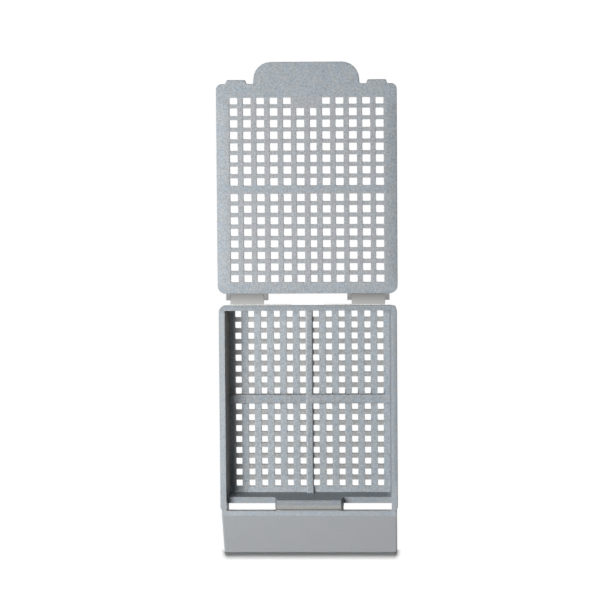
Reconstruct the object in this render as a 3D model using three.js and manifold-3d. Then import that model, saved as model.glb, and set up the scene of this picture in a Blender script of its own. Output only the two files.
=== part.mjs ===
// Tissue cassette: a shallow perforated tray with a sloped writing panel and a perforated
// lid on two film hinges, moulded flat in one shot and shown opened out flat.
//
// Millimetres, +Z up. The tray stands on z = 0 with its lid hinged on the +Y side, its
// writing panel on the -Y side and X across it. The origin is under the crossing of the
// two ribs that divide the floor into four compartments.
import * as THREE from 'three';
import { mergeVertices } from 'three/addons/utils/BufferGeometryUtils.js';
import Module from 'manifold-3d';

const wasm = await Module();
wasm.setup();

// ---------------------------------------------------------------- driving dimensions
// Tray body
const TRAY_WIDTH = 28.36; // over the rim's lip
const TRAY_LENGTH = 40.45; // rear rim to the toe of the writing panel
const TRAY_HEIGHT = 6.0; // table to rim
const FLOOR_THICKNESS = 1.0;
const RIM_WIDTH = 0.95; // flat top of the side walls, lip included
const REAR_RIM_WIDTH = 0.85;
const WALL_DRAFT = 0.35; // inner faces lean outwards this much from floor to rim
const REAR_DRAFT = 0.2;
const FRONT_DRAFT = 0.62;
const REAR_LEAN = 0.3; // outer face of the rear wall leans in this much towards its foot
const CORNER_RADIUS = 1.1; // rear corners, seen from above
const BODY_ROUND = 0.3; // outer edges along the sides and the writing panel
const TOE_RADIUS = 0.45; // corners of the toe, seen from above
const LIP_OVERHANG = 0.2; // the lip stands this far out of the walls
const LIP_HEIGHT = 1.1;
const LIP_ROUND = 0.15;
const LIP_RUN_OUT = 0.6; // the lip carries on this far past the front wall
const LIP_BLEND = 0.5; // corner radius where the lip dies out

// Front of the tray: low shoulders each side of a full-height centre, then the slots
const FRONT_WALL = 0.75; // thickness at the rim
const CENTRE_WIDTH = 10.2; // full-height part of the front wall, at the rim
const CENTRE_FLARE = 0.43; // it widens by this much each side down to the shoulders
const SHOULDER_DROP = 1.95; // shoulders lie this far under the rim
const SLOT_WIDTH = 0.98; // front wall to writing panel
const CHEEK_THICKNESS = 0.78; // side walls beside the slots and under the panel
const WEB_DROP = 0.4; // the web from the centre to the panel falls this far from the rim

// Writing panel
const PANEL_THICKNESS = 1.1;
const PANEL_LEDGE = 0.79; // flat strip along its upper edge
const PANEL_RUN = 6.74; // plan length of the sloped face
const TOE_HEIGHT = 0.5;

// Ribs on the tray floor
const RIB_HEIGHT = 0.7;
const RIB_WIDTH = 1.1; // rib that runs from rear to front
const BAND_WIDTH = 1.5; // rib that runs across

// Perforated floor
const TRAY_COLUMNS = 12;
const TRAY_ROWS = 16;
const TRAY_HOLE_X = 1.0;
const TRAY_HOLE_Y = 1.06;
const TRAY_COLUMN_GAP = 2.16; // centres of the two columns beside the long rib
const TRAY_ROW_GAP = 2.55; // centres of the two rows beside the cross rib
const SIDE_MARGIN = 0.97; // solid floor between wall and outer holes
const REAR_MARGIN = 0.19;
const FRONT_MARGIN = 0.95;
const CROSSBAR_RECESS = 0.15; // bars across lie this far under the bars along

// Lid
const LID_SIDE_OVERHANG = 0.12; // each side, past the rim's lip
const LID_LENGTH = 33.25;
const LID_THICKNESS = 1.2;
const LID_REAR_RADIUS = 1.25;
const LID_FRONT_RADIUS = 0.9;
const LID_ROUND = 0.15;
const LID_RECESS = 0.05;
const TAB_INSET = 6.0; // finger tab on the front edge, in from the lid's sides
const TAB_LENGTH = 3.45;
const TAB_RADIUS = 2.8;
const TAB_FLARE = 0.1;
const NIB_INSET = 3.16; // centres of the locating nibs, in from the lid's sides
const NIB_BASE = 3.3;
const NIB_TIP = 2.88;
const NIB_LENGTH = 0.63;
const NIB_RADIUS = 0.25;

// Perforated lid
const LID_HOLES_LEFT = 6;
const LID_HOLES_RIGHT = 5;
const LID_ROWS = 16;
const LID_HOLE_X = 1.27;
const LID_HOLE_Y = 1.2;
const LID_NARROW_HOLE = 1.06; // width of the odd column between the two groups
const LID_COLUMN_GAP = 4.09; // centres of the two columns beside the narrow one
const LID_SIDE_MARGIN = 2.1;
const LID_REAR_MARGIN = 1.76;
const LID_FRONT_MARGIN = 2.19;
const LID_ROW_GAP = 2.5; // centres of the two rows beside the solid middle strip
const LID_FIRST_ROW_TRIM = 0.18; // the front row is shortened at its front edge

// Film hinges
const LID_GAP = 1.88; // tray rim to lid edge when opened flat
const STRAP_INSET = 4.54; // strap centres, in from the sides of the rim
const STRAP_WIDTH = 5.32;
const STRAP_THICKNESS = 0.35;
const STRAP_DROP = 0.3; // strap's top under the rim, where it leaves the tray
const EAR_WIDTH = 0.7; // ears of the lid that flank each strap
const EAR_LENGTH = 1.1;
const EAR_THICKNESS = 0.5;
const LEDGE_START = 2.4; // hinge ledge on the rear wall, from the middle
const LEDGE_DEPTH = 0.15;
const LEDGE_SLOPE = 0.4;

const ARC_STEPS = 3; // three.js makes twice as many facets on each rounded corner
const STRAP_STEPS = 6; // facets along a strap's bend
const EDGE_STEPS = 2; // facets of a rounded edge
const WELD = 1e-5; // corners nearer to each other than this are one
const BEYOND = 1.0; // how far a cutter passes the surface that it opens
const ROOT = 0.3; // how far a joined feature reaches into what carries it

// ---------------------------------------------------------------- derived places
const rearY = (() => {
  const firstRow = REAR_RIM_WIDTH + REAR_DRAFT + REAR_MARGIN + TRAY_HOLE_Y / 2;
  const lastRow = frontFoot() - FRONT_MARGIN - TRAY_HOLE_Y / 2;
  return (firstRow + lastRow) / 2;
})();
const toeY = rearY - TRAY_LENGTH;
const slopeTopY = toeY + PANEL_RUN;
const panelBackY = slopeTopY + PANEL_LEDGE;
const frontWallY = panelBackY + SLOT_WIDTH;
const rimInnerX = TRAY_WIDTH / 2 - RIM_WIDTH;
const footX = rimInnerX - WALL_DRAFT; // foot of the inner faces, on the floor
const footRearY = rearY - REAR_RIM_WIDTH - REAR_DRAFT;
const footFrontY = rearY - frontFoot();
const bodyHalfWidth = TRAY_WIDTH / 2 - LIP_OVERHANG;
const cheekInnerX = bodyHalfWidth - CHEEK_THICKNESS;
const shoulderZ = TRAY_HEIGHT - SHOULDER_DROP;
const lidRearY = rearY + LID_GAP;
const lidFrontY = lidRearY + LID_LENGTH;
const lidHalfWidth = TRAY_WIDTH / 2 + LID_SIDE_OVERHANG;
const nibOffset = lidHalfWidth - NIB_INSET;
const tabHalfWidth = lidHalfWidth - TAB_INSET;
const lidBottomZ = TRAY_HEIGHT - LID_THICKNESS;
const strapOffset = TRAY_WIDTH / 2 - STRAP_INSET;

// Distance from the rear rim to the foot of the front wall, on the floor.
function frontFoot() {
  const frontWallFace = TRAY_LENGTH - PANEL_RUN - PANEL_LEDGE - SLOT_WIDTH;
  return frontWallFace - FRONT_WALL - FRONT_DRAFT;
}

// ---------------------------------------------------------------- solids
function toSolid(geometry) {
  geometry.deleteAttribute('normal');
  geometry.deleteAttribute('uv');
  const merged = mergeVertices(geometry, WELD);
  const mesh = new wasm.Mesh({
    numProp: 3,
    vertProperties: new Float32Array(merged.attributes.position.array),
    triVerts: new Uint32Array(merged.index.array),
  });
  return new wasm.Manifold(mesh);
}

function toGeometry(solid) {
  const mesh = solid.getMesh();
  const geometry = new THREE.BufferGeometry();
  geometry.setAttribute('position', new THREE.BufferAttribute(mesh.vertProperties, 3));
  geometry.setIndex(new THREE.BufferAttribute(mesh.triVerts, 1));
  geometry.computeVertexNormals();
  return geometry;
}

// Settings of an extrusion whose ends are rounded inside its outline.
function roundedEnds(length, round, curveSegments = ARC_STEPS) {
  return {
    depth: length - 2 * round,
    curveSegments,
    bevelEnabled: round > 0,
    bevelThickness: round,
    bevelSize: round,
    bevelOffset: -round,
    bevelSegments: EDGE_STEPS,
  };
}

// Plan outlines, in x and y, raised between two heights.
function raise(shapes, low, high, round = 0) {
  const geometry = new THREE.ExtrudeGeometry(shapes, roundedEnds(high - low, round));
  geometry.translate(0, 0, low + round);
  return toSolid(geometry);
}

// Side outlines, in y and z, drawn out across the tray.
function acrossX(shapes, halfWidth, round = 0, curveSegments = ARC_STEPS) {
  const settings = roundedEnds(2 * halfWidth, round, curveSegments);
  const geometry = new THREE.ExtrudeGeometry(shapes, settings);
  geometry.translate(0, 0, round - halfWidth);
  const turn = new THREE.Matrix4().makeBasis(
    new THREE.Vector3(0, 1, 0), new THREE.Vector3(0, 0, 1), new THREE.Vector3(1, 0, 0));
  geometry.applyMatrix4(turn);
  return toSolid(geometry);
}

// End outlines, in x and z, drawn out along the tray.
function alongY(shapes, front, rear) {
  const geometry = new THREE.ExtrudeGeometry(shapes, roundedEnds(rear - front, 0));
  const turn = new THREE.Matrix4().makeBasis(
    new THREE.Vector3(1, 0, 0), new THREE.Vector3(0, 0, 1), new THREE.Vector3(0, -1, 0));
  geometry.applyMatrix4(turn);
  geometry.translate(0, rear, 0);
  return toSolid(geometry);
}

function rectangle(x0, y0, x1, y1) {
  return new THREE.Shape([
    new THREE.Vector2(x0, y0), new THREE.Vector2(x1, y0),
    new THREE.Vector2(x1, y1), new THREE.Vector2(x0, y1),
  ]);
}

function polygon(points) {
  return new THREE.Shape(points.map(([x, y]) => new THREE.Vector2(x, y)));
}

// A closed outline of [x, y, radius] corners, each rounded by a true arc.
function roundedOutline(corners) {
  const shape = new THREE.Shape();
  const places = corners.map(([x, y]) => new THREE.Vector2(x, y));
  corners.forEach(([, , radius], i) => {
    const corner = places[i];
    const before = places.at(i - 1).clone().sub(corner).normalize();
    const after = places[(i + 1) % places.length].clone().sub(corner).normalize();
    const halfAngle = before.angleTo(after) / 2;
    const centre = before.clone().add(after).setLength(radius / Math.sin(halfAngle)).add(corner);
    const reach = radius / Math.tan(halfAngle);
    const start = before.clone().multiplyScalar(reach).add(corner).sub(centre);
    const end = after.clone().multiplyScalar(reach).add(corner).sub(centre);
    const clockwise = before.cross(after) > 0;
    shape.absarc(centre.x, centre.y, radius, start.angle(), end.angle(), clockwise);
  });
  return shape;
}

function mirrorPoints(points) {
  return points.map(([x, ...rest]) => [-x, ...rest]).reverse();
}

// Each shape of a right-hand feature with its twin on the left.
function bothSides(makeShape) {
  return [makeShape(1), makeShape(-1)];
}

// ---------------------------------------------------------------- perforated grids
// Bars run unbroken along Y. The bars across are sunk below them, so each column of
// holes lies in a shallow channel. A hole is { x, y, width, length }.
function holeCutter(holes, low, high) {
  const shapes = holes.map(({ x, y, width, length }) =>
    rectangle(x - width / 2, y - length / 2, x + width / 2, y + length / 2));
  return raise(shapes, low, high);
}

function channelCutter(columns, recess, top) {
  const shapes = columns.map((holes) => {
    const { x, width } = holes[0];
    const ends = holes.flatMap(({ y, length }) => [y - length / 2, y + length / 2]);
    return rectangle(x - width / 2, Math.min(...ends), x + width / 2, Math.max(...ends));
  });
  return raise(shapes, top - recess, top + BEYOND);
}

// Row centres in two equal bays, one each side of a solid strip.
function rowsInTwoBays(first, last, count, gap) {
  const perBay = count / 2;
  const pitch = (last - first - gap) / (count - 2);
  const bay = (start) => Array.from({ length: perBay }, (_, i) => start + i * pitch);
  return [bay(first), bay(first + (perBay - 1) * pitch + gap)];
}

function trayColumns() {
  const outer = footX - SIDE_MARGIN - TRAY_HOLE_X / 2;
  const inner = TRAY_COLUMN_GAP / 2;
  const perSide = TRAY_COLUMNS / 2;
  const pitch = (outer - inner) / (perSide - 1);
  const right = Array.from({ length: perSide }, (_, i) => inner + i * pitch);
  return [...right.map((x) => -x).reverse(), ...right];
}

function trayHoles() {
  const rearRow = footRearY - REAR_MARGIN - TRAY_HOLE_Y / 2;
  const bays = rowsInTwoBays(-rearRow, rearRow, TRAY_ROWS, TRAY_ROW_GAP);
  return trayColumns().flatMap((x) => bays.map((rows) =>
    rows.map((y) => ({ x, y, width: TRAY_HOLE_X, length: TRAY_HOLE_Y }))));
}

function lidColumns() {
  const outer = lidHalfWidth - LID_SIDE_MARGIN - LID_HOLE_X / 2;
  const pitch = (2 * outer - LID_COLUMN_GAP) / (LID_HOLES_LEFT + LID_HOLES_RIGHT - 2);
  const group = (count, side) => Array.from({ length: count }, (_, i) =>
    ({ x: side * (outer - i * pitch), width: LID_HOLE_X }));
  const left = group(LID_HOLES_LEFT, -1);
  const right = group(LID_HOLES_RIGHT, 1).reverse();
  const middle = (left.at(-1).x + right[0].x) / 2;
  return [...left, { x: middle, width: LID_NARROW_HOLE }, ...right];
}

function lidHoles() {
  const first = lidRearY + LID_REAR_MARGIN + LID_HOLE_Y / 2;
  const last = lidFrontY - LID_FRONT_MARGIN + LID_FIRST_ROW_TRIM - LID_HOLE_Y / 2;
  const bays = rowsInTwoBays(first, last, LID_ROWS, LID_ROW_GAP);
  const columns = lidColumns();
  return columns.flatMap(({ x, width }, column) => bays.map((rows) => rows
    .map((y) => ({ x, y, width, length: LID_HOLE_Y }))
    .map((hole) => shortenFrontHole(hole, last))
    .filter((hole) => !(isMiddle(column) && isFrontRow(hole, last)))));
}

function isFrontRow(hole, last) {
  return hole.y > last - LID_HOLE_Y / 2;
}

// The two columns in the middle have no hole in the front row, behind the finger tab.
function isMiddle(column) {
  return column === LID_HOLES_LEFT - 1 || column === LID_HOLES_LEFT;
}

function shortenFrontHole(hole, last) {
  if (!isFrontRow(hole, last)) return hole;
  const length = hole.length - LID_FIRST_ROW_TRIM;
  return { ...hole, y: hole.y - LID_FIRST_ROW_TRIM / 2, length };
}

// ---------------------------------------------------------------- tray
// Solid block with the tray's side outline: nearly upright at the rear, sloped at the front.
function trayBlock() {
  const bodyRearY = rearY - LIP_OVERHANG;
  const profile = polygon([
    [bodyRearY - REAR_LEAN, 0], [bodyRearY, TRAY_HEIGHT], [slopeTopY, TRAY_HEIGHT],
    [toeY, TOE_HEIGHT], [toeY, 0],
  ]);
  const plan = roundedOutline([
    [bodyHalfWidth, toeY, TOE_RADIUS], [bodyHalfWidth, bodyRearY, CORNER_RADIUS - LIP_OVERHANG],
    [-bodyHalfWidth, bodyRearY, CORNER_RADIUS - LIP_OVERHANG], [-bodyHalfWidth, toeY, TOE_RADIUS],
  ]);
  const block = acrossX(profile, bodyHalfWidth, BODY_ROUND);
  return block.intersect(raise(plan, -BEYOND, TRAY_HEIGHT + BEYOND));
}

// Lip round the rim. It dies out in a slope beside the writing panel.
function rimLip() {
  const half = TRAY_WIDTH / 2;
  const endY = frontWallY - LIP_RUN_OUT;
  const right = [
    [bodyHalfWidth - ROOT, endY - LIP_OVERHANG - ROOT, LIP_BLEND],
    [half, endY, LIP_BLEND], [half, rearY, CORNER_RADIUS],
  ];
  const plan = roundedOutline([...right, ...mirrorPoints(right)]);
  return raise(plan, TRAY_HEIGHT - LIP_HEIGHT, TRAY_HEIGHT, LIP_ROUND);
}

// Space inside the walls, which all lean outwards from the floor to the rim.
function cavity() {
  const above = TRAY_HEIGHT + BEYOND;
  const rimFrontY = footFrontY - FRONT_DRAFT;
  const rimRearY = rearY - REAR_RIM_WIDTH;
  const lengthwise = polygon([
    [footFrontY, FLOOR_THICKNESS], [footRearY, FLOOR_THICKNESS], [rimRearY, TRAY_HEIGHT],
    [rimRearY, above], [rimFrontY, above], [rimFrontY, TRAY_HEIGHT],
  ]);
  const crosswise = polygon([
    [-footX, FLOOR_THICKNESS], [footX, FLOOR_THICKNESS], [rimInnerX, TRAY_HEIGHT],
    [rimInnerX, above], [-rimInnerX, above], [-rimInnerX, TRAY_HEIGHT],
  ]);
  return acrossX(lengthwise, TRAY_WIDTH / 2).intersect(alongY(crosswise, toeY, rearY));
}

// The open wedge under the writing panel and under the web, which thins from the shoulders'
// level at the front wall to the panel's own thickness.
function wedgeUnderPanel() {
  const slope = (TRAY_HEIGHT - TOE_HEIGHT) / PANEL_RUN;
  const underside = TRAY_HEIGHT - PANEL_THICKNESS * Math.hypot(1, slope);
  const openY = slopeTopY - (underside + BEYOND) / slope;
  return acrossX(polygon([
    [frontWallY, -BEYOND], [frontWallY, shoulderZ], [slopeTopY, underside], [openY, -BEYOND],
  ]), cheekInnerX);
}

// Top of the web: it slopes from the rim down to the back of the panel.
function webTop() {
  return acrossX(polygon([
    [frontWallY, TRAY_HEIGHT], [panelBackY, TRAY_HEIGHT - WEB_DROP],
    [panelBackY, TRAY_HEIGHT + BEYOND],
    [frontWallY, TRAY_HEIGHT + BEYOND],
  ]), cheekInnerX);
}

// Room above the shoulders and through the slots, each side of the centre.
function besideCentre(front, rear, low) {
  const inner = CENTRE_WIDTH / 2;
  const shape = (side) => polygon([
    [side * (inner + CENTRE_FLARE), low], [side * (inner + CENTRE_FLARE), shoulderZ],
    [side * inner, TRAY_HEIGHT], [side * inner, TRAY_HEIGHT + BEYOND],
    [side * cheekInnerX, TRAY_HEIGHT + BEYOND], [side * cheekInnerX, low],
  ]);
  return alongY(bothSides(shape), front, rear);
}

function shoulderCut() {
  return besideCentre(frontWallY - ROOT, footFrontY + ROOT, shoulderZ);
}

function slotCut() {
  return besideCentre(panelBackY, frontWallY, FLOOR_THICKNESS);
}

// Low ribs that cross on the floor and part it into four compartments.
function floorRibs() {
  const top = FLOOR_THICKNESS + RIB_HEIGHT;
  const halfRib = RIB_WIDTH / 2;
  const halfBand = BAND_WIDTH / 2;
  const along = rectangle(-halfRib, footFrontY - ROOT, halfRib, footRearY + ROOT);
  const across = rectangle(-footX - ROOT, -halfBand, footX + ROOT, halfBand);
  const base = FLOOR_THICKNESS - ROOT;
  return raise(along, base, top).add(raise(across, base, top));
}

// Thin ledges on the rear wall, level with the straps that grow out of them.
function hingeLedges() {
  const end = strapOffset + STRAP_WIDTH / 2;
  const shape = (side) => polygon([
    [side * LEDGE_START, rearY - ROOT], [side * LEDGE_START, rearY],
    [side * (LEDGE_START + LEDGE_SLOPE), rearY + LEDGE_DEPTH],
    [side * end, rearY + LEDGE_DEPTH], [side * end, rearY - ROOT],
  ]);
  const top = TRAY_HEIGHT - STRAP_DROP;
  return raise(bothSides(shape), top - STRAP_THICKNESS, top);
}

function traySolid() {
  const columns = trayHoles();
  return trayBlock()
    .add(rimLip())
    .subtract(cavity())
    .subtract(wedgeUnderPanel())
    .subtract(webTop())
    .subtract(shoulderCut())
    .subtract(slotCut())
    .add(floorRibs())
    .add(hingeLedges())
    .subtract(holeCutter(columns.flat(), -BEYOND, TRAY_HEIGHT))
    .subtract(channelCutter(columns, CROSSBAR_RECESS, FLOOR_THICKNESS));
}

// ---------------------------------------------------------------- lid
function lidOutline() {
  const right = [
    [lidHalfWidth, lidRearY, LID_REAR_RADIUS], [lidHalfWidth, lidFrontY, LID_FRONT_RADIUS],
    [nibOffset + NIB_BASE / 2, lidFrontY, NIB_RADIUS],
    [nibOffset + NIB_TIP / 2, lidFrontY + NIB_LENGTH, NIB_RADIUS],
    [nibOffset - NIB_TIP / 2, lidFrontY + NIB_LENGTH, NIB_RADIUS],
    [nibOffset - NIB_BASE / 2, lidFrontY, NIB_RADIUS],
    [tabHalfWidth + TAB_FLARE, lidFrontY, NIB_RADIUS],
    [tabHalfWidth, lidFrontY + TAB_LENGTH, TAB_RADIUS],
  ];
  return roundedOutline([...right, ...mirrorPoints(right)]);
}

// Ears on the lid's rear edge, one each side of each strap.
function lidEars() {
  const shape = (side) => [-1, 1].map((flank) => {
    const inner = side * strapOffset + flank * STRAP_WIDTH / 2;
    return rectangle(Math.min(inner, inner + flank * EAR_WIDTH), lidRearY - EAR_LENGTH,
      Math.max(inner, inner + flank * EAR_WIDTH), lidRearY + ROOT);
  });
  return raise(bothSides(shape).flat(), lidBottomZ, lidBottomZ + EAR_THICKNESS);
}

function lidSolid() {
  const columns = lidHoles();
  return raise(lidOutline(), lidBottomZ, TRAY_HEIGHT, LID_ROUND)
    .add(lidEars())
    .subtract(holeCutter(columns.flat(), lidBottomZ - BEYOND, TRAY_HEIGHT + BEYOND))
    .subtract(channelCutter(columns, LID_RECESS, TRAY_HEIGHT));
}

// ---------------------------------------------------------------- film hinges
// One strap, between the ledge on the tray and the rear edge of the lid.
function strapSolid(side) {
  const trayTop = TRAY_HEIGHT - STRAP_DROP;
  const lidTop = lidBottomZ + STRAP_THICKNESS + LID_ROUND;
  const trayY = rearY + LEDGE_DEPTH;
  const middleY = (trayY + lidRearY) / 2;
  const shape = new THREE.Shape();
  shape.moveTo(trayY, trayTop - STRAP_THICKNESS);
  shape.quadraticCurveTo(middleY, lidTop - STRAP_THICKNESS, lidRearY, lidTop - STRAP_THICKNESS);
  shape.lineTo(lidRearY, lidTop);
  shape.quadraticCurveTo(middleY, lidTop, trayY, trayTop);
  shape.closePath();
  return acrossX(shape, STRAP_WIDTH / 2, 0, STRAP_STEPS).translate([side * strapOffset, 0, 0]);
}

// ---------------------------------------------------------------- assembly
function plastic(colour, roughness) {
  return new THREE.MeshStandardMaterial({ color: colour, roughness, metalness: 0 });
}

function piece(name, solid, material) {
  const mesh = new THREE.Mesh(toGeometry(solid), material);
  mesh.name = name;
  return mesh;
}

const group = new THREE.Group();
group.add(piece('tray', traySolid(), plastic(0xb4bbc0, 0.55)));
group.add(piece('lid', lidSolid(), plastic(0xb4bbc0, 0.55)));
group.add(piece('hinge_strap_left', strapSolid(-1), plastic(0xc8c8c4, 0.45)));
group.add(piece('hinge_strap_right', strapSolid(1), plastic(0xc8c8c4, 0.45)));

export default group;
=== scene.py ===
# Finish, light and camera for a tissue cassette: a moulded tray with a sloped writing panel
# and a perforated lid on two film hinges, opened out flat.
import math
from functools import reduce
from operator import mul

import bmesh
import bpy
from mathutils import Matrix, Vector


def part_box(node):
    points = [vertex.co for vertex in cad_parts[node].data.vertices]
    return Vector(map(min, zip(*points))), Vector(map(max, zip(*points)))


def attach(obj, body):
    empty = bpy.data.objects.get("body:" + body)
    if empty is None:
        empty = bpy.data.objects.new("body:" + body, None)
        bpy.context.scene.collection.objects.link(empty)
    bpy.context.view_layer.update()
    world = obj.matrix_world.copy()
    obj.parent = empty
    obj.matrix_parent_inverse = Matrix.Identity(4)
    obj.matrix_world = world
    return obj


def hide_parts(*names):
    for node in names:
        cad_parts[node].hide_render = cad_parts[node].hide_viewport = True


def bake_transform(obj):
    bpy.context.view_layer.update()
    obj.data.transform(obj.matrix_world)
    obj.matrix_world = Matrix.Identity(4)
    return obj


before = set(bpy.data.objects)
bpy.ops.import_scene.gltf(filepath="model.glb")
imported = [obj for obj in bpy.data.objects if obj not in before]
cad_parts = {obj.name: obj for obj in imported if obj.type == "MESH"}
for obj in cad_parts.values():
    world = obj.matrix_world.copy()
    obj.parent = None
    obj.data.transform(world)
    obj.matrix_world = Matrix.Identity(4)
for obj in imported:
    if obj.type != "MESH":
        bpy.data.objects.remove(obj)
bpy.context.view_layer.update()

# ---------------------------------------------------------------- sizes
MM = 0.001  # in metres
WELD = 0.001 * MM  # corners nearer to each other than this are one
FACES_UP = (0.3, 0.7)  # how far a face's normal points up: on upright faces and on level ones
FLAT = math.radians(0.5)  # faces that turn less than this make one face
SHARP = math.radians(50)  # edges that turn more than this are rounded
SLOPE = (math.radians(30), math.radians(42))  # the writing panel's edges turn by this much
UPRIGHT = 0.99  # a direction is upright from this much along z, and its whole length is 1
CORNER_ROUND = 0.13 * MM  # the holes' corners, seen from above
CORNER_FACETS = 2
EDGE_ROUND = 0.035 * MM
EDGE_FACETS = 2
RIB_ROUND = 0.2 * MM
RIB_FACETS = 3
SHORT = 0.08 * MM  # edges shorter than this stay as they are, with those they touch
STRAP_THICKNESS = 0.35 * MM
STRAP_STEPS = 16
STRAP_ROUND = 0.08 * MM
STRAP_FACETS = 2

# The heights of the tray's ribs and crossbars over the table, and the solid's own heights
RIB_TOP = 1.5 * MM
CROSSBAR_TOP = 0.95 * MM
SOLID_TOPS = {1.7 * MM: RIB_TOP, 0.85 * MM: CROSSBAR_TOP}

# The lowest and highest corners of a box round all the holes, in millimetres
TRAY_HOLES = (Vector((-12.7, -15.2, -1)), Vector((12.7, 14.28, 1.02)))
LID_HOLES = (Vector((-12.6, 18.5, -1)), Vector((12.6, 50, 6.01)))

# Places along the cassette, in millimetres
PANEL_TOP = -18.28  # where the writing panel's slope begins
PANEL_BACK = -17.49
REAR_RIM = 15.43

# Parts of the cassette with a colour of their own, and parts where light and shade are painted.
# Each is
# where all its terms hold: along an axis, the place in millimetres where it begins and where it is
# full, or another part's name.
# "aside" is the distance from the middle, to either side, and "level" means level faces.
# The slats are the floor's bars along, which stand higher than its crossbars. The ridge is the
# front wall's full-height middle, and the web joins it to the writing panel.
PARTS = {
    "inside": [("aside", 13.35, 13.2), ("y", 15.3, 15.2), ("y", -17.4, -17.2)],
    # painted shade: faces low in the tray are darker, as the walls shade them
    "sunken_shade": [("z", 5.4, 4.4), "inside"],
    # painted shade: the tray's inner walls are darker
    "shaded_inner_walls": [("x", 12.6, 12.4), "inside", "not level"],
    "walls_behind_ridge": [("y", -15.3, -15.0), "shaded_inner_walls"],
    # painted shade: the crossbars are darker and greyer, as in the shade of their recess
    "crossbars": [("z", 0.99, 0.97), "inside", "level"],
    # painted light: the slats are paler, more so to the left
    "slats": [("x", -11.0, -10.5), ("z", 1.1, 1.05), "inside", "level"],
    # painted highlight along the long rib's left edge
    "rib_edge": [("x", -0.62, -0.5), ("x", -0.28, -0.4), ("z", 1.1, 1.2), ("z", 1.7, 1.6),
                 "inside"],
    # side rims: less grain here, and painted light that grows paler to the right
    "side_rims": [("aside", 13.3, 13.4), ("y", 15.6, 15.5), ("z", 5.6, 5.8)],
    # painted shade on the top of the rear rim
    "rear_rim_shade": [("y", 14.2, 14.4), ("y", 15.35, 14.9), ("z", 5.6, 5.8)],
    # pale film colour on the ledge behind the rim, and painted light on the top of the rear wall,
    # which faces away from the lamps
    "rear_edge": [("y", REAR_RIM - 0.02, REAR_RIM + 0.02), ("y", 15.8, 15.7), ("z", 5.95, 5.8)],
    # painted shade on the ridge's top, darker still at its rounded inner edge
    "ridge": [("aside", 5.4, 5.2), ("y", -15.6, -15.7), ("y", -16.7, -16.5), ("z", 5.8, 5.9)],
    "ridge_edge": [("y", -16.1, -15.75), "ridge"],
    "web": [("aside", 5.7, 5.5), ("y", -16.5, -16.8), ("y", -17.55, -17.45)],
    # painted shade in the crease where the web meets the panel
    "web_crease_shade": [("aside", 5.7, 5.6), ("y", -17.2, -17.26), ("y", -17.41, -17.35)],
    # painted light on the slots' upright back edges
    "slot_edges_painted_light": [("aside", 5.7, 5.8), ("aside", 13.3, 13.2), ("y", -17.3, -17.4),
                   ("y", -17.6, -17.5), ("z", 3.0, 4.0), "not level"],
    "front": [("y", -15.7, -16.3), "level"],
    "panel": [("y", PANEL_TOP - 0.02, PANEL_TOP - 0.08), "level"],
    "panel_ledge": [("y", PANEL_BACK, PANEL_BACK - 0.1), "level", "not panel"],
    # painted shade: the lid's ears are dark grey
    "shaded_ears": [("y", 16.15, 16.25), ("y", 17.6, 17.5), ("z", 5.6, 5.4)],
    "lid_strip": [("y", 33.4, 33.6), ("y", 34.8, 34.6)],
    "lid_grid": [("aside", 12.7, 12.5), ("y", 18.8, 19.0), ("y", 48.6, 48.4), ("z", 5.5, 5.6),
                 "not lid_strip"],
}

# Parts of the floor, written in the same way
FLOOR_PARTS = {
    "under_cassette": [("aside", 15.6, 15.0), ("y", -24.9, -24.5), ("y", 54.6, 54.2)],
    "under_tray": [("aside", 14.6, 14.0), ("y", -25.2, -24.8), ("y", 15.9, 15.3)],
}


# ---------------------------------------------------------------- shader nodes
class Value:
    """A shader socket that works in sums as a number does."""

    def __init__(self, tree, socket):
        self.tree = tree
        self.socket = socket

    def __add__(self, other):
        return self.tree.maths("ADD", self, other)

    def __sub__(self, other):
        return self.tree.maths("SUBTRACT", self, other)

    def __rsub__(self, other):
        return self.tree.maths("SUBTRACT", other, self)

    def __mul__(self, other):
        return self.tree.maths("MULTIPLY", self, other)

    def __abs__(self):
        return self.tree.maths("ABSOLUTE", self)

    __radd__ = __add__
    __rmul__ = __mul__

    def ramp(self, begins, full):
        """0 up to where it begins, 1 from where it is full, and a smooth rise between them."""
        return self.tree.node("ShaderNodeMapRange", {"interpolation_type": "SMOOTHSTEP"},
                              {"Value": self, "From Min": begins, "From Max": full}, "Result")


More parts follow.
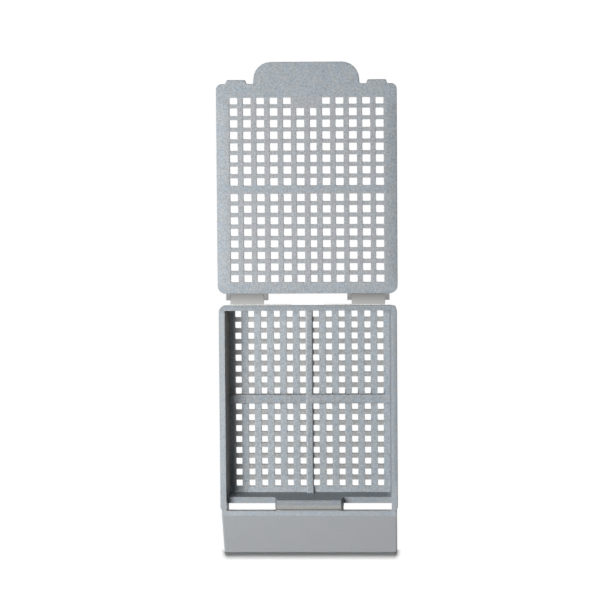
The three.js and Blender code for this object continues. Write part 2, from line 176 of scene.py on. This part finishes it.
class Tree:
    """The nodes of one material or world."""

    def __init__(self, owner):
        owner.use_nodes = True
        self.nodes = owner.node_tree.nodes
        self.links = owner.node_tree.links
        self.nodes.clear()

    def node(self, kind, settings, inputs, output=None):
        """Adds a node, and gives what comes out of it. Sockets go by name or by number."""
        node = self.nodes.new(kind)
        for name, setting in settings.items():
            setattr(node, name, setting)
        for socket, value in inputs.items():
            if isinstance(value, Value):
                self.links.new(value.socket, node.inputs[socket])
            else:
                node.inputs[socket].default_value = value
        return None if output is None else Value(self, node.outputs[output])

    def maths(self, operation, *values):
        return self.node("ShaderNodeMath", {"operation": operation}, dict(enumerate(values)),
                         "Value")

    def blend(self, factor, first, second):
        """A colour between two colours."""
        return self.node("ShaderNodeMix", {"data_type": "RGBA"},
                         {0: factor, 6: first, 7: second}, 2)

    def mixed(self, factor, first, second):
        """A surface between two surfaces."""
        return self.node("ShaderNodeMixShader", {}, {0: factor, 1: first, 2: second}, "Shader")

    def scaled(self, vector, factor):
        return self.node("ShaderNodeVectorMath", {"operation": "SCALE"},
                         {"Vector": vector, "Scale": factor}, "Vector")

    def part_of(self, vector, axis):
        return self.node("ShaderNodeSeparateXYZ", {}, {"Vector": vector}, axis)

    def places(self):
        """Where a point lies, in millimetres: the whole vector, and its parts by name."""
        metres = self.node("ShaderNodeTexCoord", {}, {}, "Object")
        whole = self.scaled(metres, 1 / MM)
        along = {axis.lower(): self.part_of(whole, axis) for axis in "XYZ"}
        along["aside"] = abs(along["x"])
        return whole, along

    def level(self):
        """1 on level faces and 0 on upright ones, whichever way the piece is turned."""
        normal = self.node("ShaderNodeTexCoord", {}, {}, "Normal")
        return abs(self.part_of(normal, "Z")).ramp(*FACES_UP)

    def masks(self, parts, along, **masks):
        """A mask for each part, next to those given: 1 in the part, and 0 outside it."""
        def factor(term):
            if isinstance(term, tuple):
                axis, begins, full = term
                return along[axis].ramp(begins, full)
            if term.startswith("not "):
                return 1 - masks[term.removeprefix("not ")]
            return masks[term]

        for name, terms in parts.items():
            masks[name] = reduce(mul, [factor(term) for term in terms])
        return masks

    def noise(self, place, fineness, detail, roughness=0.5):
        """Noise from -1 to 1, with its fineness in grains per millimetre."""
        raw = self.node("ShaderNodeTexNoise", {},
                        {"Vector": place, "Scale": fineness, "Detail": detail,
                         "Roughness": roughness}, "Fac")
        return (raw - 0.5) * 2


def grey(level, tint=(1.0, 1.0, 1.0)):
    return (*(level * part for part in tint), 1.0)


# ---------------------------------------------------------------- finishes
PLASTIC = 0.43  # how pale the plastic is
BLUISH = (0.879, 0.993, 1.1)  # its tint wanders between these two
WARMER = (0.942, 1.008, 1.055)
# a warm tint of painted shade, on the inner walls behind the ridge
WARM_SHADE_TINT = (1.04, 1.0, 0.96)
PANEL_TINT = (0.96, 1.0, 1.045)
GRID_TINT = (0.99, 1.01, 1.05)
GRID_TINTED = 0.6  # how much of that tint the lid's grid takes
# a greyer tint for the painted shade on the crossbars
CROSSBAR_SHADE_TINT = (0.985, 1.0, 1.0)
# warm tone of thin plastic, painted light that comes through it
FILM_TINT = (1.0, 1.0, 0.97)
GLOSS = 0.3  # specular level
GLOW_THROUGH = {"Subsurface Weight": 0.12, "Subsurface Radius": (1.0, 1.0, 1.0)}
BODY_DEPTH = 0.2 * MM  # how deep light goes in
FILM_DEPTH = 0.1 * MM
DENT = 0.02 * MM  # depth of the grain

COLOURS = {
    # painted light: the writing panel is 5% paler on its slope
    "panel": grey(PLASTIC * 1.05, PANEL_TINT),
    # warm tone of painted light through the thin web
    "web": grey(PLASTIC, FILM_TINT),
    # painted shade: a warmer tone on the shaded walls behind the ridge
    "walls_behind_ridge": grey(PLASTIC, WARM_SHADE_TINT),
    # painted shade on the crossbars, 10% darker
    "crossbars": grey(PLASTIC * 0.9, CROSSBAR_SHADE_TINT),
    # painted shade on the ears
    "shaded_ears": grey(0.29),
    # film colour on the ledge, and painted light on the rear wall's top
    "rear_edge": grey(0.8, FILM_TINT),
    # painted light on the slots' back edges
    "slot_edges_painted_light": grey(0.8),
}
PALER = {  # and darker where below 0; most of these are painted light and shade
    # painted shade low in the tray
    "sunken_shade": -0.11,
    # painted shade on the inner walls
    "shaded_inner_walls": -0.28,
    # painted highlight on the rib's left edge
    "rib_edge": 0.35,
    # painted shade on the rear rim
    "rear_rim_shade": -0.12,
    # painted shade on the ridge
    "ridge": -0.14,
    # painted shade in the web's crease
    "web_crease_shade": -0.55,
    "panel_ledge": 0.05,
    "lid_strip": -0.03,
}
# painted shade at the ridge's inner edge
RIDGE_EDGE_SHADE = 0.25
RIMS_PAINTED_LIGHT = 0.02
SLATS_PAINTED_LIGHT = 0.14
PAINTED_LIGHT_SIDEWAYS = 0.006  # painted light: rims grow paler and slats darker by this for each millimetre to the right
CALMER = {"front": 0.5, "panel": 0.35, "side_rims": 0.45}  # where there is less grain
BODY_GRAIN = 3.7  # fineness, in grains per millimetre
CLOUDS = 0.9
TINTS = 1.1
TINT_CHANGES = (-0.3, 0.3)  # where the tint's noise is all warmer, and all bluish
GRAIN_SHADES = 0.6
CLOUD_SHADES = 0.06
BODY_ROUGHNESS = 0.5
GRAIN_ROUGHENS = 0.12
PANEL_SMOOTHER = 0.08
GRAIN_FELT = 0.35  # strength of the bump
PANEL_FLATTER = 0.8


def body_finish(name):
    """Pale moulded plastic with a fine grain, and with light and shade painted into its colour in
    some parts.
    """
    material = bpy.data.materials.new(name)
    tree = Tree(material)
    place, along = tree.places()
    part = tree.masks(PARTS, along, level=tree.level())
    grain = tree.noise(place, BODY_GRAIN, detail=2.0, roughness=0.6)
    cloud = tree.noise(place, CLOUDS, detail=1.0)
    tint = tree.noise(place, TINTS, detail=1.0)

    colour = tree.blend(tint.ramp(*TINT_CHANGES), grey(PLASTIC, WARMER), grey(PLASTIC, BLUISH))
    colour = tree.blend(part["lid_grid"] * GRID_TINTED, colour, grey(PLASTIC, GRID_TINT))
    for where, own in COLOURS.items():
        colour = tree.blend(part[where], colour, own)

    calm = 1
    for where, less in CALMER.items():
        calm = calm - part[where] * less
    shade = 1 + (grain * GRAIN_SHADES + cloud * CLOUD_SHADES) * calm
    # painted light: the side rims grow paler to the right
    shade = shade * (1 + part["side_rims"] * (RIMS_PAINTED_LIGHT + along["x"] * PAINTED_LIGHT_SIDEWAYS))
    # painted light: the slats are paler, and more so to the left
    shade = shade * (1 + part["slats"] * (SLATS_PAINTED_LIGHT - along["x"] * PAINTED_LIGHT_SIDEWAYS))
    # painted light and shade by part
    for where, paler in PALER.items():
        change = part[where] * paler
        # painted shade at the ridge's inner edge, over that of the ridge
        if where == "ridge":
            change = change - part["ridge_edge"] * RIDGE_EDGE_SHADE
        shade = shade * (1 + change)

    bump = tree.node("ShaderNodeBump", {},
                     {"Strength": GRAIN_FELT, "Distance": DENT,
                      "Height": grain * (1 - part["panel"] * PANEL_FLATTER)}, "Normal")
    roughness = BODY_ROUGHNESS + grain * GRAIN_ROUGHENS - part["panel"] * PANEL_SMOOTHER
    surface = tree.node("ShaderNodeBsdfPrincipled", {},
                        {"Base Color": tree.scaled(colour, shade), "Roughness": roughness,
                         "Normal": bump, "Specular IOR Level": GLOSS, **GLOW_THROUGH,
                         "Subsurface Scale": BODY_DEPTH}, "BSDF")
    tree.node("ShaderNodeOutputMaterial", {}, {"Surface": surface})
    return material


FILM_IN_LID_SHADE = grey(0.17)
FILM_AT_TRAY = grey(0.63, FILM_TINT)
FILM_SHADE_FADES = (REAR_RIM + 2.4, REAR_RIM - 0.4)  # where the painted shade fades, from the lid towards the tray
FILM_GRAIN = 2.6
FILM_GRAIN_SHADES = 0.05
FILM_ROUGHNESS = 0.4
FILM_GRAIN_ROUGHENS = 0.1


def film_finish(name):
    """The same plastic, thin and smooth, with painted shade and light: dark at the lid, in the
    lid's shade, and pale and warm at the tray, where light comes through the thin film.
    """
    material = bpy.data.materials.new(name)
    tree = Tree(material)
    place, along = tree.places()
    grain = tree.noise(place, FILM_GRAIN, detail=2.0)
    colour = tree.blend(along["y"].ramp(*FILM_SHADE_FADES), FILM_IN_LID_SHADE, FILM_AT_TRAY)
    surface = tree.node("ShaderNodeBsdfPrincipled", {},
                        {"Base Color": tree.scaled(colour, 1 + grain * FILM_GRAIN_SHADES),
                         "Roughness": FILM_ROUGHNESS + grain * FILM_GRAIN_ROUGHENS,
                         "Specular IOR Level": GLOSS,
                         **GLOW_THROUGH, "Subsurface Scale": FILM_DEPTH}, "BSDF")
    tree.node("ShaderNodeOutputMaterial", {}, {"Surface": surface})
    return material


# ---------------------------------------------------------------- moulded bodies
def middle(edge):
    return (edge.verts[0].co + edge.verts[1].co) / 2


def turn_of(edge):
    return edge.calc_face_angle(0)


def is_upright(edge):
    return abs((edge.verts[1].co - edge.verts[0].co).normalized().z) > UPRIGHT


def is_level(edge):
    return all(abs(face.normal.z) > UPRIGHT for face in edge.link_faces)


def everything(shape):
    return [*shape.verts, *shape.edges, *shape.faces]


def merged(node):
    """A CAD node's shape with its loose triangles joined at their corners."""
    shape = bmesh.new()
    shape.from_mesh(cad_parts[node].data)
    bmesh.ops.remove_doubles(shape, verts=shape.verts, dist=WELD)
    return shape


def hole_corners(shape, holes):
    """The upright edges at the corners of all the holes."""
    low, high = holes

    def among_holes(edge):
        place = middle(edge) / MM
        return low.x < place.x < high.x and low.y < place.y < high.y and place.z < high.z

    return [edge for edge in shape.edges
            if is_upright(edge) and turn_of(edge) > SHARP and among_holes(edge)]


def halfway_places(edges, axis):
    """The places halfway between neighbouring corners of the holes, along one axis."""
    places = sorted({round(middle(edge)[axis] / MM, 3) for edge in edges})
    return [(a + b) / 2 * MM for a, b in zip(places, places[1:])]


def part_the_holes(shape, corners):
    """Cuts the level faces so that each goes round a quarter of one hole, and joins the rest."""
    cuts = [(axis, place) for axis in (0, 1) for place in halfway_places(corners, axis)]
    for axis, place in cuts:
        normal = Vector((axis == 0, axis == 1, 0))
        cut = bmesh.ops.bisect_plane(shape, geom=everything(shape), dist=WELD / 10,
                                     plane_co=normal * place, plane_no=normal)
        for edge in cut["geom_cut"]:
            if isinstance(edge, bmesh.types.BMEdge) and is_level(edge):
                edge.seam = True
    bmesh.ops.dissolve_limit(shape, angle_limit=FLAT, verts=shape.verts, edges=shape.edges,
                             delimit={"SEAM"})


def round_off(shape, edges, radius, facets):
    bmesh.ops.bevel(shape, geom=edges, offset=radius, offset_type="OFFSET", segments=facets,
                    profile=0.5, affect="EDGES", material=-1, loop_slide=True)


def soften(shape):
    """The tray's ribs and crossbars stand out a little less than in its solid."""
    for vert in shape.verts:
        for solid_top, top in SOLID_TOPS.items():
            if abs(vert.co.z - solid_top) < WELD:
                vert.co.z = top


def rib_edges(shape):
    return [edge for edge in shape.edges if turn_of(edge) > SHARP and not is_upright(edge)
            and abs(middle(edge).z - RIB_TOP) < WELD]


def can_be_rounded(edge):
    if not (turn_of(edge) > SHARP or SLOPE[0] < turn_of(edge) < SLOPE[1]):
        return False
    return all(near.calc_length() > SHORT for vert in edge.verts for near in vert.link_edges)


def shade_evenly(mesh):
    """Flat faces shade flat, and the narrow rounds between them turn the light."""
    mesh.shade_smooth()
    faces_at = [[] for _ in mesh.vertices]
    for face in mesh.polygons:
        for vertex in face.vertices:
            faces_at[vertex].append(face)
    normals = []
    for face in mesh.polygons:
        for vertex in face.vertices:
            smooth = [near for near in faces_at[vertex]
                      if near.normal.angle(face.normal, 0) < SHARP]
            weighed = [near.normal * (near.area / MM ** 2) ** 2 for near in smooth]
            normals.append(sum(weighed, Vector()).normalized())
    mesh.normals_split_custom_set(normals)


def placed(shape, name):
    """A piece in the scene, made from a finished shape."""
    mesh = bpy.data.meshes.new(name)
    shape.to_mesh(mesh)
    shape.free()
    piece = bpy.data.objects.new(name, mesh)
    bpy.context.scene.collection.objects.link(piece)
    return piece


def moulded(name, node, body, holes, finish):
    """The tray or the lid, with the corners of its holes and all its edges rounded."""
    shape = merged(node)
    if node == "tray":
        soften(shape)
    part_the_holes(shape, hole_corners(shape, holes))
    round_off(shape, hole_corners(shape, holes), CORNER_ROUND, CORNER_FACETS)
    round_off(shape, rib_edges(shape), RIB_ROUND, RIB_FACETS)
    round_off(shape, [edge for edge in shape.edges if can_be_rounded(edge)],
              EDGE_ROUND, EDGE_FACETS)
    piece = placed(shape, name)
    shade_evenly(piece.data)
    piece.data.materials.append(finish)
    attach(piece, body)
    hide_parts(node)


plastic = body_finish("moulded_plastic")
moulded("moulded_tray", "tray", "tray_body", TRAY_HOLES, plastic)
moulded("moulded_lid", "lid", "lid_body", LID_HOLES, plastic)


# ---------------------------------------------------------------- film hinges
def strap(name, node, finish):
    """One film hinge: a thin strap that sags from the tray's ledge to the lid's rear edge."""
    low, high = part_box(node)
    centre = (low + high) / 2
    size = high - low
    sag = size.z - STRAP_THICKNESS
    shape = bmesh.new()
    bmesh.ops.create_cube(shape, size=1, matrix=Matrix.Translation(centre) @ Matrix.Diagonal(
        (size.x, size.y, STRAP_THICKNESS, 1)))
    for step in range(1, STRAP_STEPS):
        bmesh.ops.bisect_plane(shape, geom=everything(shape), dist=WELD / 10,
                               plane_co=(0, low.y + size.y * step / STRAP_STEPS, 0),
                               plane_no=(0, 1, 0))
    for vert in shape.verts:
        to_lid = (vert.co.y - low.y) / size.y
        vert.co.z += sag * ((1 - to_lid) ** 2 - 0.5)
    long_edges = [edge for edge in shape.edges if turn_of(edge) > SHARP
                  and abs(edge.verts[0].co.y - edge.verts[1].co.y) > WELD]
    round_off(shape, long_edges, STRAP_ROUND, STRAP_FACETS)
    piece = placed(shape, name)
    shade_evenly(piece.data)
    piece.data.materials.append(finish)
    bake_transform(piece)
    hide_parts(node)


film = film_finish("hinge_film")
strap("film_hinge_left", "hinge_strap_left", film)
strap("film_hinge_right", "hinge_strap_right", film)

# ---------------------------------------------------------------- floor and backdrop
WHITE = grey(1.0)
FLOOR_SIZE = 3.0
FLOOR_GAP = 0.01 * MM  # so that the floor and the tray's underside aren't in one plane
FLOOR_COLOUR = grey(0.8)
FLOOR_GLOW = 0.03  # how much of the floor's white is its own
FLOOR_BOUNCE = 0.95  # light that the floor sends up to the cassette
TRAY_BLOCKS = 0.9  # what the tray takes from that where it stands
WORLD_LIGHT = 0.02


def seen_directly(tree):
    """1 for what the camera sees, also in a reflection or through glass, and 0 for light."""
    seen = [tree.node("ShaderNodeLightPath", {}, {}, ray)
            for ray in ("Is Camera Ray", "Is Glossy Ray", "Is Transmission Ray")]
    return (seen[0] + seen[1] + seen[2]).ramp(0.0, 1.0)


def floor_finish(name):
    """Pale paper that takes shadows, and plain white right under the cassette."""
    material = bpy.data.materials.new(name)
    tree = Tree(material)
    _, along = tree.places()
    part = tree.masks(FLOOR_PARTS, along)
    bounce = tree.node("ShaderNodeEmission", {},
                       {"Color": WHITE,
                        "Strength": FLOOR_BOUNCE - part["under_tray"] * TRAY_BLOCKS}, "Emission")
    paper = tree.node("ShaderNodeBsdfDiffuse", {}, {"Color": FLOOR_COLOUR}, "BSDF")
    glow = tree.node("ShaderNodeEmission", {}, {"Color": WHITE, "Strength": 1.0}, "Emission")
    seen = tree.mixed(part["under_cassette"], tree.mixed(FLOOR_GLOW, paper, glow), glow)
    surface = tree.mixed(seen_directly(tree), bounce, seen)
    tree.node("ShaderNodeOutputMaterial", {}, {"Surface": surface})
    return material


def pale_floor():
    shape = bmesh.new()
    bmesh.ops.create_grid(shape, x_segments=1, y_segments=1, size=FLOOR_SIZE / 2)
    piece = placed(shape, "floor")
    piece.location.z = -FLOOR_GAP
    piece.data.materials.append(floor_finish("pale_floor"))
    return piece


def white_world():
    """A backdrop that is white to look at, and gives next to no light."""
    world = bpy.data.worlds.new("studio")
    bpy.context.scene.world = world
    tree = Tree(world)
    strength = seen_directly(tree) * (1 - WORLD_LIGHT) + WORLD_LIGHT
    backdrop = tree.node("ShaderNodeBackground", {}, {"Color": WHITE, "Strength": strength},
                         "Background")
    tree.node("ShaderNodeOutputWorld", {}, {"Surface": backdrop})


floor = pale_floor()
white_world()


# ---------------------------------------------------------------- lamps
def panel_lamp(name, place, aim, size, power, only=None, without=None):
    """A soft lamp at one place, in millimetres, turned to another, for one piece or all but one."""
    data = bpy.data.lights.new(name, "AREA")
    data.shape = "RECTANGLE"
    data.size, data.size_y = size
    data.energy = power
    lamp = bpy.data.objects.new(name, data)
    lamp.location = Vector(place) * MM
    lamp.rotation_euler = (Vector(place) - Vector(aim)).to_track_quat("Z", "Y").to_euler()
    lamp.visible_camera = False
    bpy.context.scene.collection.objects.link(lamp)
    lit = bpy.data.collections.new(name + "_lights")
    lit.objects.link(only or without)
    lamp.light_linking.receiver_collection = lit
    if without:
        lit.collection_objects[0].light_linking.link_state = "EXCLUDE"


panel_lamp("key", place=(-95, 12, 185), aim=(0, 12, 0), size=(0.076, 0.1), power=0.425,
           without=floor)
panel_lamp("fill", place=(0, -430, 250), aim=(0, 0, 0), size=(0.2, 0.2), power=0.26,
           without=floor)
panel_lamp("low", place=(0, 765, 614), aim=(0, -25, 0), size=(0.12, 0.06), power=18.5,
           only=floor)
panel_lamp("high", place=(0, 1048, 1687), aim=(0, -25, 0), size=(0.15, 1.3), power=10.5,
           only=floor)

# ---------------------------------------------------------------- camera
LENS = 183.1
SENSOR = 36
NEAREST = 0.01
AIM = Vector((-0.1, 15.17, 6.0)) * MM
TO_THE_RIGHT = math.radians(2.526)  # where the camera hangs, seen from its aim
TO_THE_REAR = math.radians(4.507)
TURN = math.radians(-0.4)
DISTANCE = 0.496


def set_camera():
    data = bpy.data.cameras.new("camera")
    data.lens = LENS
    data.sensor_width = SENSOR
    data.clip_start = NEAREST
    camera = bpy.data.objects.new("camera", data)
    bpy.context.scene.collection.objects.link(camera)
    bpy.context.scene.camera = camera
    back = Vector((math.tan(TO_THE_RIGHT), math.tan(TO_THE_REAR), 1)).normalized()
    right = Vector((0, 1, 0)).cross(back).normalized()
    facing = Matrix((right, back.cross(right), back)).transposed()
    facing = facing @ Matrix.Rotation(TURN, 3, "Z")
    camera.matrix_world = Matrix.Translation(AIM + back * DISTANCE) @ facing.to_4x4()


set_camera()
bpy.context.scene.view_settings.view_transform = "Standard"
